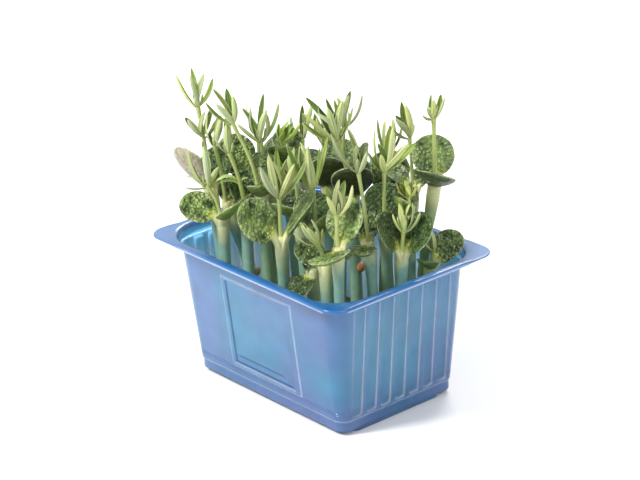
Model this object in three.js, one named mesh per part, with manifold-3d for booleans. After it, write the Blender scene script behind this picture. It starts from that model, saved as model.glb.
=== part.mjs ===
// Microgreens tray: lupin sprouts standing in a growing mat, in a thin formed plastic tray.
//
// Millimetres, +Z up. The middle of the tray's foot is at the origin, its length runs along X
// and its width along Y. Each sprout is two solids: the stalk with its two seed leaves, and the
// shoot with its fans of leaflets, which stands in a socket between the seed leaves.

import * as THREE from 'three';
import { mergeVertices } from 'three/addons/utils/BufferGeometryUtils.js';
import Module from 'manifold-3d';

const wasm = await Module();
wasm.setup();

// ---------------------------------------------------------------- driving dimensions

const GAP = 0.3; // between pieces that rest on or stand in each other
const SHEET = 0.8; // thickness of the formed sheet
const CORNER_STEPS = 5; // straight pieces in a rounded corner
const CURVE_STEPS = 40; // places along a stem where its direction is worked out
const FAR = 100; // a size that reaches past the whole object

const RIM_Z = 74.5; // top of the flange
const FLANGE = { halfLength: 70, halfWidth: 51.3, corner: 9.7 };
const LIP = { drop: 2, thickness: 0.8 };
const TAB = { halfLength: 71, halfWidth: 52.4, corner: 7.5, startX: 45, startY: 32, slant: 4 };
const MOUTH = { halfLength: 65.2, halfWidth: 46.5, corner: 19.4 }; // inner face of the band
const BAND_DRAFT = 0.3; // how much narrower the upright band is at its foot

const LEDGE_Z = 69; // where the wall steps out to the upright band
const LEDGE_FALL = 0.4;
const STEP_Z = 7.5; // where the wall steps in to the skirt
const STEP_FALL = 0.5;
const WALL_TOP = { halfLength: 61.7, halfWidth: 43, corner: 11.5 };
const WALL_FOOT = { halfLength: 55.4, halfWidth: 36.7, corner: 6 };
const SKIRT = { halfLength: 54.8, halfWidth: 36.1, corner: 5.5, z: 2 };
const FOOT = { halfLength: 54.2, halfWidth: 28, corner: 4 };

const FLUTES = { count: 7, pitch: 9.08, halfWidth: 3.4, halfFloor: 2.7, depth: 1.2 };
const FLUTE_ENDS = { bottom: 9, bottomSlant: 1.4, top: 68, topSlant: 1 };
const PANEL = { middleX: 1, top: 62.5, bottom: 12.7, halfLength: 26, band: 3.6, relief: 0.5 };

const MAT_TOP = 26;
const MAT_HALF_LENGTH = 53.2; // clear of the flutes
const MAT_RELIEF = 1.2; // how lumpy its top is
const MAT_GRID = { step: 10, columns: 12, rows: 8 };
const ROOT_DEPTH = 6; // how far a stalk stands in the mat

const STALK = { sides: 6, foot: 3.1, neck: 2.9, collar: 3.9 };
const SEED_LEAF = { halfWidth: 10.4, fullLength: 23, thickness: 3, cupping: 2.2, sunk: 1.6 };
const SHOOT = { sides: 4, foot: 1.25, top: 1.05, bud: 1.5, socketLength: 9 };
const LEAFLET = { halfWidth: 1.7, keel: 1.2, arch: 0.8, fan: 9, offset: 0.8, sunk: 0.3, uneven: 0.22 };

// Where each sprout stands (x, y), its collar and the fork of its shoot (x, y, z), its two seed
// leaves [heading, rise, roll, length] and its leaves [heading, rise, length, leaflets, height].
// Heading turns from +X to +Y, rise is above level and roll is about the leaf's own length, all
// in degrees. Height says how far up the shoot a leaf grows, 1 being the fork.
const SPROUTS = [
  {
    stands: [-37, -29],
    collar: [-40, -28, 85.5],
    fork: [-44, -33, 102],
    seedLeaves: [[218, 19, -25, 22], [-2, 34, 12, 25]],
    leaves: [[-120, 80, 24, 3, 1], [-145, 5, 12, 2, 1], [100, 40, 11, 2, 1]],
  },
  {
    stands: [8, -29],
    collar: [9, -31, 89],
    fork: [9, -31, 110],
    seedLeaves: [[-122, 44, -55, 27.5], [50, 50, 0, 28]],
    leaves: [[-112, 68, 23, 3, 1], [50, 65, 24, 3, 1], [170, 78, 28, 2, 1]],
  },
  {
    stands: [49, 7],
    collar: [51, 8, 82],
    fork: [52, 9, 93],
    seedLeaves: [[225, 60, -20, 23], [45, 50, 30, 24]],
    leaves: [[-100, 75, 12, 3, 1], [130, 78, 15, 3, 1], [50, 62, 14, 2, 1]],
  },
  {
    stands: [44, -26],
    collar: [42, -24, 91],
    fork: [41, -23, 108],
    seedLeaves: [[-55, 4, 17, 23], [100, 60, 0, 26]],
    leaves: [[-80, 75, 15, 3, 1], [75, 70, 20, 3, 1]],
  },
  {
    stands: [48, 24],
    collar: [52, 26, 71],
    fork: [54, 26, 79],
    seedLeaves: [[80, 36, 10, 21], [-60, 25, 0, 12]],
    leaves: [[-130, 70, 11, 3, 1]],
  },
  {
    stands: [36, 30],
    collar: [43, 38, 107],
    fork: [43, 38, 140.5],
    seedLeaves: [[-46, 30, -14, 23], [145, 60, 0, 24]],
    leaves: [[50, 78, 13.5, 4, 1], [-90, 40, 8, 2, 1]],
  },
  {
    stands: [35, -25],
    collar: [35, -26, 81],
    fork: [38, -33, 95],
    seedLeaves: [[-155, 35, -20, 18], [100, 5, 0, 16]],
    leaves: [[-110, 50, 15, 3, 1], [-165, 55, 14, 3, 1]],
  },
  {
    stands: [22, -24],
    collar: [21, -22, 73],
    fork: [19, -20, 85],
    seedLeaves: [[-90, -40, 0, 16], [-175, 60, 0, 14]],
    leaves: [[50, 75, 9, 3, 1]],
  },
  {
    stands: [40, 0],
    collar: [39, -2, 86],
    fork: [33, -2, 122],
    seedLeaves: [[165, 50, 0, 18], [-60, 0, 0, 15]],
    leaves: [[-120, 68, 26, 2, 1], [115, 72, 14, 3, 1], [15, 70, 15, 2, 1]],
  },
  {
    stands: [38, 11],
    collar: [36, 11, 91],
    fork: [37, 11, 119],
    seedLeaves: [[135, 50, 0, 22], [150, 15, 0, 14]],
    leaves: [[50, 86, 26, 3, 1], [50, 45, 21, 2, 1], [-80, 65, 16, 3, 1]],
  },
  {
    stands: [8, 16],
    collar: [4, 19, 94],
    fork: [2, 12, 126],
    seedLeaves: [[-38, 57, 0, 24], [86, 58, 0, 20]],
    leaves: [[-120, 52, 28, 2, 1], [-150, 74, 20, 3, 1], [95, 70, 21, 3, 1], [-105, 45, 21, 2, 1]],
  },
  {
    stands: [16, -11],
    collar: [15, -14, 88],
    fork: [14, -14, 111],
    seedLeaves: [[145, 45, 0, 22], [10, 50, 0, 18]],
    leaves: [[-130, 70, 26, 2, 1], [160, 80, 22, 3, 1], [0, 80, 28, 2, 1]],
  },
  {
    stands: [29, 31],
    collar: [28, 37, 101],
    fork: [30, 34, 128],
    seedLeaves: [[-150, 35, 0, 20], [90, 25, 0, 15]],
    leaves: [[-130, 82, 19, 2, 1], [-110, 52, 16, 3, 1]],
  },
  {
    stands: [-49, -20],
    collar: [-54, -23, 95],
    fork: [-57, -26, 139],
    seedLeaves: [[-128, 53, 42, 27.5], [100, 60, 0, 22]],
    leaves: [[50, 68, 20, 2, 1], [-130, 75, 19, 3, 1], [-130, 50, 15, 2, 0.63], [30, 70, 15, 3, 0.63]],
  },
  {
    stands: [-21, -15],
    collar: [-26, -14, 98],
    fork: [-33, -24, 135],
    seedLeaves: [[105, 62, 0, 20], [-35, 30, 0, 16]],
    leaves: [[-115, 55, 21, 3, 1], [165, 85, 19, 2, 1]],
  },
  {
    stands: [-38, -8],
    collar: [-46, -20, 88],
    fork: [-48, -24, 120],
    seedLeaves: [[112, 40, 0, 15.5], [80, 15, 0, 13]],
    leaves: [[50, 86, 17, 3, 1], [95, 66, 16, 2, 1]],
  },
  {
    stands: [-30, -21],
    collar: [-35, -17, 90],
    fork: [-37, -24, 119],
    seedLeaves: [[138, 66, 0, 18], [-175, 50, 0, 13]],
    leaves: [[-130, 72, 15, 2, 1], [150, 78, 19, 2, 1]],
  },
  {
    stands: [-26, -3],
    collar: [-35, -3, 97],
    fork: [-33, -7, 121],
    seedLeaves: [[4, 35, 0, 15], [178, 65, 0, 17]],
    leaves: [[50, 75, 24, 3, 1], [-40, 80, 20, 2, 1], [-115, 55, 20, 2, 1]],
  },
  {
    stands: [-29, 10],
    collar: [-34, 8, 106],
    fork: [-34, 7, 117],
    seedLeaves: [[120, 50, 0, 18], [-50, 45, 0, 16]],
    leaves: [[70, 50, 13, 3, 1], [-10, 70, 10, 3, 1]],
  },
  {
    stands: [44, 18],
    collar: [43, 21, 96],
    fork: [42, 21, 104],
    seedLeaves: [[170, 60, 0, 15], [-90, 50, 0, 13]],
    leaves: [[-85, 55, 9, 3, 1], [-150, 70, 10, 3, 1], [80, 60, 7, 2, 1]],
  },
  {
    stands: [-12, 17],
    collar: [-13, 18, 94],
    fork: [-14, 17, 117],
    seedLeaves: [[60, 60, 0, 20], [-42, 64, 0, 22]],
    leaves: [[20, 70, 20, 3, 1], [-160, 75, 18, 2, 1]],
  },
  {
    stands: [-47, 7],
    collar: [-52, 7, 98],
    fork: [-55, 9, 114],
    seedLeaves: [[-131, 34, -55, 25], [64, 52, 0, 19]],
    leaves: [[160, 66, 18, 2, 1], [-60, 76, 16, 2, 1]],
  },
  {
    stands: [-43, 26],
    collar: [-46, 31, 86],
    fork: [-48, 32, 108],
    seedLeaves: [[130, 30, 0, 20], [-45, 45, 0, 18]],
    leaves: [[110, 70, 19, 2, 1], [-90, 76, 17, 2, 1]],
  },
  {
    stands: [-20, 29],
    collar: [-20, 34, 97],
    fork: [-19, 35, 121],
    seedLeaves: [[150, 35, 0, 20], [40, 45, 0, 20]],
    leaves: [[60, 72, 20, 3, 1], [-130, 70, 18, 2, 1]],
  },
  {
    stands: [11, 31],
    collar: [11, 36, 91],
    fork: [12, 36, 115],
    seedLeaves: [[130, 62, 0, 24], [-30, 40, 0, 17]],
    leaves: [[0, 74, 19, 2, 1], [150, 70, 18, 2, 1]],
  },
  {
    stands: [-5, -4],
    collar: [-8, -5, 87],
    fork: [-9, -6, 108],
    seedLeaves: [[160, 30, 0, 20], [-75, 35, 0, 20]],
    leaves: [[80, 76, 19, 3, 1], [-100, 70, 19, 3, 1]],
  },
];

// Shed seed coats on the mat: x, y, heading in degrees.
const SEED_COATS = [[-32, -33, 20], [-18, -31, 115], [24, -4, 60], [-3, -17, 200]];
const SEED_COAT = { length: 9, width: 7, height: 3.2, wall: 0.8, sides: 7 };

// ---------------------------------------------------------------- materials

const PLASTIC = new THREE.MeshStandardMaterial({ color: 0x5f8fd0, roughness: 0.25, metalness: 0 });
const MAT = new THREE.MeshStandardMaterial({ color: 0x7a6242, roughness: 0.95, metalness: 0 });
const COAT = new THREE.MeshStandardMaterial({ color: 0xb98a58, roughness: 0.7, metalness: 0 });
const SEEDLING = new THREE.MeshStandardMaterial({ color: 0x4c7a3c, roughness: 0.6, metalness: 0 });
const YOUNG = new THREE.MeshStandardMaterial({ color: 0xa9c66c, roughness: 0.6, metalness: 0 });

// ---------------------------------------------------------------- solids

// A closed skin over rings of points, each with as many points as the next; the first and last
// rings are closed by fans, and a ring of one point is a tip.
function loft(rings) {
  const points = rings.flat();
  const triangles = [];
  let start = 0;
  for (let r = 0; r + 1 < rings.length; r++) {
    const n = rings[r].length;
    const m = rings[r + 1].length;
    const next = start + n;
    for (let i = 0; i < Math.max(n, m); i++) {
      const j = (i + 1) % Math.max(n, m);
      if (n > 1) triangles.push([start + i, start + j, next + (m > 1 ? j : 0)]);
      if (m > 1) triangles.push([start + (n > 1 ? i : 0), next + j, next + i]);
    }
    start = next;
  }
  for (let i = 1; i + 1 < rings[0].length; i++) triangles.push([0, i + 1, i]);
  for (let i = 1; i + 1 < rings.at(-1).length; i++) triangles.push([start, start + i, start + i + 1]);
  return solid(points, triangles);
}

// The corners of a regular polygon, stretched to two half widths.
function polygon(sides, halfX, halfY) {
  const corners = [];
  for (let i = 0; i < sides; i++) {
    const angle = (2 * Math.PI * i) / sides;
    corners.push(new THREE.Vector3(halfX * Math.cos(angle), halfY * Math.sin(angle), 0));
  }
  return corners;
}

// The solid inside a closed skin, its faces turned outward.
function solid(points, triangles) {
  const volume = triangles.reduce(
    (sum, [a, b, c]) => sum + points[a].dot(new THREE.Vector3().crossVectors(points[b], points[c])),
    0,
  );
  const faces = volume < 0 ? triangles.map(([a, b, c]) => [a, c, b]) : triangles;
  const vertProperties = new Float32Array(points.flatMap((p) => [p.x, p.y, p.z]));
  const mesh = new wasm.Mesh({ numProp: 3, vertProperties, triVerts: new Uint32Array(faces.flat()) });
  return new wasm.Manifold(mesh);
}

// The solid inside a three.js geometry.
function solidOf(geometry) {
  geometry.deleteAttribute('normal');
  geometry.deleteAttribute('uv');
  const merged = mergeVertices(geometry);
  const position = merged.getAttribute('position');
  const points = [];
  for (let i = 0; i < position.count; i++) points.push(new THREE.Vector3().fromBufferAttribute(position, i));
  const index = [...merged.getIndex().array];
  const triangles = [];
  for (let i = 0; i < index.length; i += 3) triangles.push(index.slice(i, i + 3));
  return solid(points, triangles.filter(([a, b, c]) => a !== b && b !== c && c !== a));
}

function meshOf(name, body, material) {
  const { vertProperties, triVerts } = body.getMesh();
  const geometry = new THREE.BufferGeometry();
  geometry.setAttribute('position', new THREE.BufferAttribute(new Float32Array(vertProperties), 3));
  geometry.setIndex(new THREE.BufferAttribute(new Uint32Array(triVerts), 1));
  geometry.computeVertexNormals();
  const mesh = new THREE.Mesh(geometry, material);
  mesh.name = name;
  return mesh;
}

const radians = THREE.MathUtils.degToRad;
const blend = THREE.MathUtils.lerp;

// The unit vector at a heading and a rise in degrees.
function direction(heading, rise) {
  const level = Math.cos(radians(rise));
  const x = level * Math.cos(radians(heading));
  const y = level * Math.sin(radians(heading));
  return new THREE.Vector3(x, y, Math.sin(radians(rise)));
}

// A tube along a curve: a ring of equal sides for each radius, at the given shares of its length.
function tube(curve, stations, sides) {
  const frames = curve.computeFrenetFrames(CURVE_STEPS);
  return loft(
    stations.map(([share, radius]) => {
      const centre = curve.getPointAt(share);
      const frame = Math.round(share * CURVE_STEPS);
      return polygon(sides, radius, radius).map(({ x, y }) =>
        centre
          .clone()
          .addScaledVector(frames.normals[frame], x)
          .addScaledVector(frames.binormals[frame], y),
      );
    }),
  );
}

// ---------------------------------------------------------------- tray

function roundedRing({ halfLength, halfWidth, corner }, z, inset = 0) {
  const ring = [];
  const radius = Math.max(corner - inset, 0.5);
  const corners = [[1, 1], [-1, 1], [-1, -1], [1, -1]];
  corners.forEach(([sx, sy], quarter) => {
    for (let i = 0; i <= CORNER_STEPS; i++) {
      const angle = (Math.PI / 2) * (quarter + i / CORNER_STEPS);
      const x = sx * (halfLength - inset - radius) + radius * Math.cos(angle);
      const y = sy * (halfWidth - inset - radius) + radius * Math.sin(angle);
      ring.push(new THREE.Vector3(x, y, z));
    }
  });
  return ring;
}

// Half length and half width of the tapered wall's outer face at a height.
function wallAt(z) {
  const share = (z - STEP_Z) / (LEDGE_Z - STEP_Z);
  return {
    halfLength: blend(WALL_FOOT.halfLength, WALL_TOP.halfLength, share),
    halfWidth: blend(WALL_FOOT.halfWidth, WALL_TOP.halfWidth, share),
  };
}

// Everything within the tray's outer face, or within its inner face when inset by the sheet's
// thickness, from the foot to the given height.
function vessel(inset, top) {
  const mouthInset = inset - SHEET; // the mouth's own size is that of its inner face
  return loft([
    roundedRing(FOOT, inset, inset),
    roundedRing(FOOT, SKIRT.z + inset, inset),
    roundedRing(SKIRT, SKIRT.z + inset, inset),
    roundedRing(SKIRT, STEP_Z - STEP_FALL + inset, inset),
    roundedRing(WALL_FOOT, STEP_Z + inset, inset),
    roundedRing(WALL_TOP, LEDGE_Z - LEDGE_FALL + inset, inset),
    roundedRing(MOUTH, LEDGE_Z + inset, mouthInset + BAND_DRAFT),
    roundedRing(MOUTH, top, mouthInset),
  ]);
}

// What one flute takes out of a short wall, from outside the wall to the flute's floor. Grown by
// the sheet's thickness, it is also where the flute stands into the tray.
function flute(end, middleY, grow) {
  const ring = (z, depth) => {
    const face = wallAt(z).halfLength;
    const outside = end * (face + 2);
    const floor = end * (face - depth - grow);
    const mouth = FLUTES.halfWidth + grow;
    const base = FLUTES.halfFloor + grow;
    return [
      new THREE.Vector3(outside, middleY - mouth, z),
      new THREE.Vector3(outside, middleY + mouth, z),
      new THREE.Vector3(floor, middleY + base, z),
      new THREE.Vector3(floor, middleY - base, z),
    ];
  };
  const bottom = FLUTE_ENDS.bottom - grow;
  const top = FLUTE_ENDS.top + grow / 2;
  const atFace = -0.2; // just outside the wall, so that the flute's ends run out on it
  return loft([
    ring(bottom, atFace),
    ring(bottom + FLUTE_ENDS.bottomSlant, FLUTES.depth),
    ring(top - FLUTE_ENDS.topSlant, FLUTES.depth),
    ring(top, atFace),
  ]);
}

function flutes(grow) {
  const cuts = [];
  for (const end of [-1, 1]) {
    for (let i = 0; i < FLUTES.count; i++) {
      cuts.push(flute(end, (i - (FLUTES.count - 1) / 2) * FLUTES.pitch, grow));
    }
  }
  return cuts.reduce((all, one) => all.add(one));
}

// The space inside the tray's sheet, run on past the rim.
function inside() {
  return vessel(SHEET, FAR).subtract(flutes(SHEET));
}

// The flange's outline: a rounded rectangle, with a tab on the (+x, +y) and (-x, -y) corners.
function flangeOutline(inset) {
  const perCorner = CORNER_STEPS + 1;
  const plain = roundedRing(FLANGE, 0, inset);
  const withTab = roundedRing(TAB, 0, inset);
  const outline = [];
  for (let quarter = 0; quarter < 4; quarter += 2) {
    const side = quarter === 0 ? 1 : -1;
    const corner = (ring, which) => ring.slice(which * perCorner, (which + 1) * perCorner);
    const point = (x, y) => new THREE.Vector3(side * x, side * y, 0);
    outline.push(
      point(FLANGE.halfLength - inset, TAB.startY),
      point(TAB.halfLength - inset, TAB.startY + TAB.slant),
      ...corner(withTab, quarter),
      point(TAB.startX + TAB.slant, TAB.halfWidth - inset),
      point(TAB.startX, FLANGE.halfWidth - inset),
      ...corner(plain, quarter + 1),
    );
  }
  return new THREE.Shape(outline.map(({ x, y }) => new THREE.Vector2(x, y)));
}

function slab(shape, bottom, height) {
  const geometry = new THREE.ExtrudeGeometry(shape, { depth: height, bevelEnabled: false });
  geometry.translate(0, 0, bottom);
  return solidOf(geometry);
}

function block(minX, maxX, minY, maxY, minZ, maxZ) {
  const geometry = new THREE.BoxGeometry(maxX - minX, maxY - minY, maxZ - minZ);
  geometry.translate((minX + maxX) / 2, (minY + maxY) / 2, (minZ + maxZ) / 2);
  return solidOf(geometry);
}

// The flange, with its edge turned down all round but for the two flat tabs.
function flange() {
  const plate = slab(flangeOutline(0), RIM_Z - SHEET, SHEET);
  const skirt = slab(flangeOutline(0), RIM_Z - LIP.drop, LIP.drop);
  const hollow = slab(flangeOutline(LIP.thickness), 0, FAR);
  const lip = skirt
    .subtract(hollow)
    .subtract(block(TAB.startX, FAR, TAB.startY, FAR, 0, FAR))
    .subtract(block(-FAR, -TAB.startX, -FAR, -TAB.startY, 0, FAR));
  return plate.add(lip);
}

// The bare framed panel on a long wall: a low raised band that follows the wall's slope.
function panel(side) {
  const outline = (inset) => [
    [PANEL.middleX - PANEL.halfLength + inset, PANEL.bottom + inset],
    [PANEL.middleX + PANEL.halfLength - inset, PANEL.bottom + inset],
    [PANEL.middleX + PANEL.halfLength - inset, PANEL.top - inset],
    [PANEL.middleX - PANEL.halfLength + inset, PANEL.top - inset],
  ];
  const face = (inset, proud) =>
    outline(inset).map(([x, z]) => new THREE.Vector3(x, side * (wallAt(z).halfWidth + proud), z));
  const plate = (inset, proud) => loft([face(inset, -SHEET / 2), face(inset, proud)]);
  return plate(0, PANEL.relief).subtract(plate(PANEL.band, 2 * PANEL.relief));
}

function tray() {
  const outer = vessel(0, RIM_Z - SHEET / 2).subtract(flutes(0));
  return outer.add(flange()).add(panel(-1)).add(panel(1)).subtract(inside());
}

// ---------------------------------------------------------------- growing mat

// A fixed random number from 0 to 1 for a pair of whole numbers.
function noise(i, j) {
  const value = Math.sin(i * 127.1 + j * 311.7) * 43758.5453;
  return value - Math.floor(value);
}

// A block with a lumpy top, wider than the tray.
function lumpyBlock() {
  const { step, columns, rows } = MAT_GRID;
  const points = [];
  for (const isTop of [false, true]) {
    for (let j = 0; j <= rows; j++) {
      for (let i = 0; i <= columns; i++) {
        const z = isTop ? MAT_TOP - MAT_RELIEF * noise(i, j) : 0;
        points.push(new THREE.Vector3((i - columns / 2) * step, (j - rows / 2) * step, z));
      }
    }
  }
  const top = (columns + 1) * (rows + 1);
  const at = (i, j) => j * (columns + 1) + i;
  const triangles = [];
  const quad = (a, b, c, d) => triangles.push([a, b, c], [a, c, d]);
  for (let j = 0; j < rows; j++) {
    for (let i = 0; i < columns; i++) {
      quad(top + at(i, j), top + at(i + 1, j), top + at(i + 1, j + 1), top + at(i, j + 1));
      quad(at(i, j), at(i, j + 1), at(i + 1, j + 1), at(i + 1, j));
    }
  }
  for (let i = 0; i < columns; i++) {
    quad(at(i, 0), at(i + 1, 0), top + at(i + 1, 0), top + at(i, 0));
    quad(at(i + 1, rows), at(i, rows), top + at(i, rows), top + at(i + 1, rows));
  }
  for (let j = 0; j < rows; j++) {
    quad(at(0, j + 1), at(0, j), top + at(0, j), top + at(0, j + 1));
    quad(at(columns, j), at(columns, j + 1), top + at(columns, j + 1), top + at(columns, j));
  }
  return solid(points, triangles);
}

// The mat fills the tray's foot, with a plain hole for each stalk.
function growingMat() {
  const betweenFlutes = block(-MAT_HALF_LENGTH, MAT_HALF_LENGTH, -FAR, FAR, 0, FAR);
  const mat = lumpyBlock().intersect(vessel(SHEET + GAP, RIM_Z)).intersect(betweenFlutes);
  return SPROUTS.reduce((left, { stands }) => left.subtract(stalkHole(stands)), mat);
}

function stalkHole([x, y]) {
  const radius = STALK.foot + 2 * GAP;
  const ring = (z) => polygon(STALK.sides, radius, radius).map((p) => p.add(new THREE.Vector3(x, y, z)));
  return loft([ring(MAT_TOP - ROOT_DEPTH - GAP), ring(MAT_TOP + ROOT_DEPTH)]);
}

// ---------------------------------------------------------------- seed coats

// Half of a shed seed coat, a small bowl lying open side up.
function seedCoat([x, y, heading]) {
  const { sides, length, width, height, wall } = SEED_COAT;
  const place = new THREE.Matrix4().makeRotationZ(radians(heading)).setPosition(x, y, MAT_TOP + GAP);
  const ring = (share, inset, z) =>
    polygon(sides, (length / 2 - inset) * share, (width / 2 - inset) * share).map((corner) =>
      corner.setZ(z).applyMatrix4(place),
    );
  return loft([
    ring(0.5, 0, 0),
    ring(1, 0, height * 0.6),
    ring(0.95, 0, height),
    ring(0.95, wall, height),
    ring(0.4, wall, wall),
  ]);
}

// ---------------------------------------------------------------- sprouts

function vector([x, y, z]) {
  return new THREE.Vector3(x, y, z);
}

// The stalk leaves the mat upright and bends over to its collar.
function stalkCurve({ stands: [x, y], collar }) {
  const rise = collar[2] - MAT_TOP;
  return new THREE.CatmullRomCurve3([
    new THREE.Vector3(x, y, MAT_TOP - ROOT_DEPTH),
    new THREE.Vector3(x, y, MAT_TOP + 2),
    new THREE.Vector3(blend(x, collar[0], 0.4), blend(y, collar[1], 0.4), MAT_TOP + rise * 0.5),
    vector(collar),
  ]);
}

function shootCurve({ collar, fork }) {
  const rise = fork[2] - collar[2];
  const x = blend(collar[0], fork[0], 0.35);
  const y = blend(collar[1], fork[1], 0.35);
  return new THREE.CatmullRomCurve3([
    new THREE.Vector3(collar[0], collar[1], collar[2] - 2),
    new THREE.Vector3(x, y, collar[2] + rise * 0.45),
    vector(fork),
  ]);
}

// A blade's own axes: along it, across it and out of its upper face.
function bladeAxes(heading, rise, roll) {
  const along = direction(heading, rise);
  const across = direction(heading + 90, 0).applyAxisAngle(along, radians(roll));
  return { along, across, up: new THREE.Vector3().crossVectors(along, across) };
}

// A round fleshy seed leaf on a short stalk of its own, cupped towards its upper face.
const SEED_LEAF_STATIONS = [
  // share of the length, share of the half width, share of the thickness
  [0, 0.17, 0.8],
  [0.16, 0.26, 0.8],
  [0.32, 0.74, 1],
  [0.56, 1, 1],
  [0.82, 0.82, 0.9],
  [0.98, 0.3, 0.6],
];

// side and face of each corner of the leaf's cross section
const SEED_LEAF_SECTION = [[-1, 0], [-0.55, 1], [0.55, 1], [1, 0], [0.55, -1], [-0.55, -1]];

function seedLeaf(collar, [heading, rise, roll, length]) {
  const { along, across, up } = bladeAxes(heading, rise, roll);
  const widest = SEED_LEAF.halfWidth * Math.min(1, length / SEED_LEAF.fullLength);
  const start = new THREE.Vector3(collar[0], collar[1], collar[2] - SEED_LEAF.sunk);
  return loft(
    SEED_LEAF_STATIONS.map(([share, width, thickness]) => {
      const halfThickness = (SEED_LEAF.thickness / 2) * thickness;
      return SEED_LEAF_SECTION.map(([side, face]) => {
        const out = side * width;
        const cupped = out ** 2 + Math.max(0, share - 0.56) ** 2 * 4;
        return start
          .clone()
          .addScaledVector(along, share * length)
          .addScaledVector(across, out * widest)
          .addScaledVector(up, face * halfThickness + cupped * SEED_LEAF.cupping);
      });
    }),
  );
}

function seedling(sprout) {
  const curve = stalkCurve(sprout);
  const stalk = tube(
    curve,
    [[0, STALK.foot], [0.12, STALK.foot], [0.5, STALK.neck], [1, STALK.collar]],
    STALK.sides,
  );
  const leaves = sprout.seedLeaves.map((blade) => seedLeaf(sprout.collar, blade));
  return leaves.reduce((body, blade) => body.add(blade), stalk).subtract(socket(sprout));
}

// The hole that the shoot stands in, and its way out between the seed leaves.
function socket(sprout) {
  const curve = shootCurve(sprout);
  const reach = Math.min(0.9, SHOOT.socketLength / curve.getLength());
  const radius = SHOOT.foot + 1.5 * GAP;
  return tube(curve, [[0, radius], [reach, radius]], SHOOT.sides);
}

// One narrow leaflet with a keel, its upper side turned to the middle of its fan.
function leaflet(start, along, outward, length) {
  const across = new THREE.Vector3().crossVectors(outward, along).normalize();
  const size = Math.min(1, 0.35 + length / 28);
  const ring = (share, spread) => {
    const centre = start
      .clone()
      .addScaledVector(along, share * length)
      .addScaledVector(outward, LEAFLET.arch * Math.sin(Math.PI * share));
    const edge = LEAFLET.halfWidth * size * spread;
    return [
      centre.clone().addScaledVector(across, edge),
      centre.clone().addScaledVector(across, -edge),
      centre.clone().addScaledVector(outward, LEAFLET.keel * size * Math.sqrt(spread)),
    ];
  };
  const tip = start.clone().addScaledVector(along, length);
  return loft([ring(0, 0.25), ring(0.34, 0.85), ring(0.66, 1), [tip]]);
}

// A fan of leaflets round one direction, like a hand that is half closed.
function leaf(start, [heading, rise, length, count]) {
  const { along, across, up } = bladeAxes(heading, rise, 0);
  const fan = radians(LEAFLET.fan * (1 + (count - 2) * 0.25));
  const parts = [];
  for (let i = 0; i < count; i++) {
    const angle = 2 * Math.PI * (i / count + noise(heading, rise));
    const outward = across.clone().multiplyScalar(Math.cos(angle)).addScaledVector(up, Math.sin(angle));
    const line = along.clone().multiplyScalar(Math.cos(fan)).addScaledVector(outward, Math.sin(fan));
    const lean = outward.clone().addScaledVector(along, -Math.tan(fan)).normalize();
    const root = start
      .clone()
      .addScaledVector(outward, LEAFLET.offset)
      .addScaledVector(along, -LEAFLET.sunk);
    const share = 1 - LEAFLET.uneven * noise(i, length + heading);
    parts.push(leaflet(root, line, lean, length * share));
  }
  return parts.reduce((all, one) => all.add(one));
}

function shoot(sprout) {
  const curve = shootCurve(sprout);
  const { foot, top, bud, sides } = SHOOT;
  const stem = tube(curve, [[0, foot], [0.3, foot], [0.65, top], [0.95, bud], [1, bud * 0.6]], sides);
  const highest = 0.97; // leaf stalks start inside the bud
  const leaves = sprout.leaves.map((one) => leaf(curve.getPointAt(Math.min(highest, one[4])), one));
  return leaves.reduce((body, one) => body.add(one), stem);
}

// ---------------------------------------------------------------- assembly

const model = new THREE.Group();
model.add(meshOf('tray', tray(), PLASTIC));
model.add(meshOf('growing_mat', growingMat(), MAT));
SEED_COATS.forEach((place, i) => model.add(meshOf(`seed_coat_${i + 1}`, seedCoat(place), COAT)));
SPROUTS.forEach((sprout, i) => {
  const number = String(i + 1).padStart(2, '0');
  model.add(meshOf(`seedling_${number}`, seedling(sprout), SEEDLING));
  model.add(meshOf(`shoot_${number}`, shoot(sprout), YOUNG));
});

export default model;
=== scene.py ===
"""Looks of a microgreens tray: lupin sprouts in a growing mat, in a thin formed plastic tray.

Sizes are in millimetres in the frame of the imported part, and meshes are made in metres. Each
sprout's stalk, seed leaves and shoot follow the solids of its two nodes.
"""

import itertools
import math

import bmesh
import bpy
import numpy as np
from mathutils import Matrix, Vector


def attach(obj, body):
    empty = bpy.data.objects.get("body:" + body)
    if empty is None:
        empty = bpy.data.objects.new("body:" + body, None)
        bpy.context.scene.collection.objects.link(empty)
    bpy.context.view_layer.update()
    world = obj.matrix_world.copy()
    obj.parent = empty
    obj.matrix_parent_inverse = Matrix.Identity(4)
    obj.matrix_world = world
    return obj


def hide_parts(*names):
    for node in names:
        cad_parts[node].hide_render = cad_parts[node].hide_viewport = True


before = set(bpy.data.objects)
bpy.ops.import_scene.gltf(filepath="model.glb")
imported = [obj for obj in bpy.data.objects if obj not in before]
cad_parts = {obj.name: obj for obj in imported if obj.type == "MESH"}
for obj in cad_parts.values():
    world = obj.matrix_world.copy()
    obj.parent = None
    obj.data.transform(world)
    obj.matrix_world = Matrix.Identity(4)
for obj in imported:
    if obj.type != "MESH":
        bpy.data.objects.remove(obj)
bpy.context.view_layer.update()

MM = 0.001

# ---- driving dimensions

RIM_Z = 74.5
LEDGE_Z = 69
STEP_Z = 7.5
SHEET = 0.55  # thickness of the tray's sheet
FLANGE = (70, 51.3, 9.7)  # half length, half width, corner radius
TAB = (71, 52.4, 7.5)
TAB_START = (45, 32)
TAB_SLANT = 4
LIP_DROP = 2
MOUTH = (66, 47.3, 20.2)  # outer face of the upright band
WALL_TOP = (61.7, 43, 11.5)
WALL_FOOT = (55.4, 36.7, 6)
SKIRT = (54.8, 36.1, 5.5)
FOOT = (54.2, 28, 4)
FLUTE_PITCH = 9.08
FLUTE_COUNT = 7

MAT_TOP = 26
ROOT_DEPTH = 6
MAT_HALF = (53.1, 37.3)

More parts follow.
